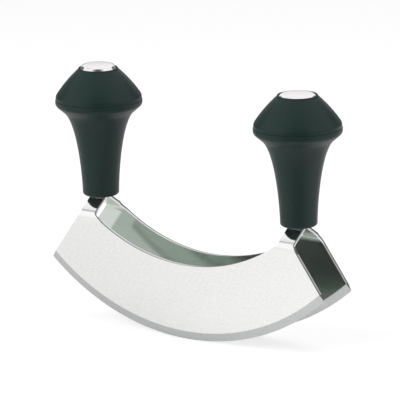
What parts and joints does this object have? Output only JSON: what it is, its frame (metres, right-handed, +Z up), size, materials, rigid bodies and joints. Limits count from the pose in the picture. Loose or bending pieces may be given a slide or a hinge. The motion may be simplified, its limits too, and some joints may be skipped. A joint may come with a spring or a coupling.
{
  "type": "double-bladed rocking knife",
  "caption": "Mezzaluna herb knife: twin curved steel blades under two upright knob handles with steel end caps, rocked to mince.",
  "frame": {"origin": "on the board, under the middle of the knife: centre of the box, at the height of the cutting edges", "axes": "+X along the blades towards the right handle, +Y from the front blade to the rear one, +Z up along the handles"},
  "size_m": [0.16, 0.0424, 0.1266],
  "materials": {
    "blade_steel": "satin stainless sheet, ground along the edge",
    "handle_plastic": "dark green-black moulded plastic with a fine matte grain",
    "cap_steel": "polished stainless steel",
    "fastener_steel": "plain machined stainless steel"
  },
  "bodies": {
    "root": {"front_blade": "blade_steel", "rear_blade": "blade_steel", "left_stem": "handle_plastic", "left_dome": "handle_plastic", "left_cap": "cap_steel", "left_stud": "fastener_steel", "left_washer": "fastener_steel", "left_nut": "fastener_steel", "left_lower_rivet": "fastener_steel", "left_upper_rivet": "fastener_steel", "right_stem": "handle_plastic", "right_dome": "handle_plastic", "right_cap": "cap_steel", "right_stud": "fastener_steel", "right_washer": "fastener_steel", "right_nut": "fastener_steel", "right_lower_rivet": "fastener_steel", "right_upper_rivet": "fastener_steel"}
  },
  "joints": []
}
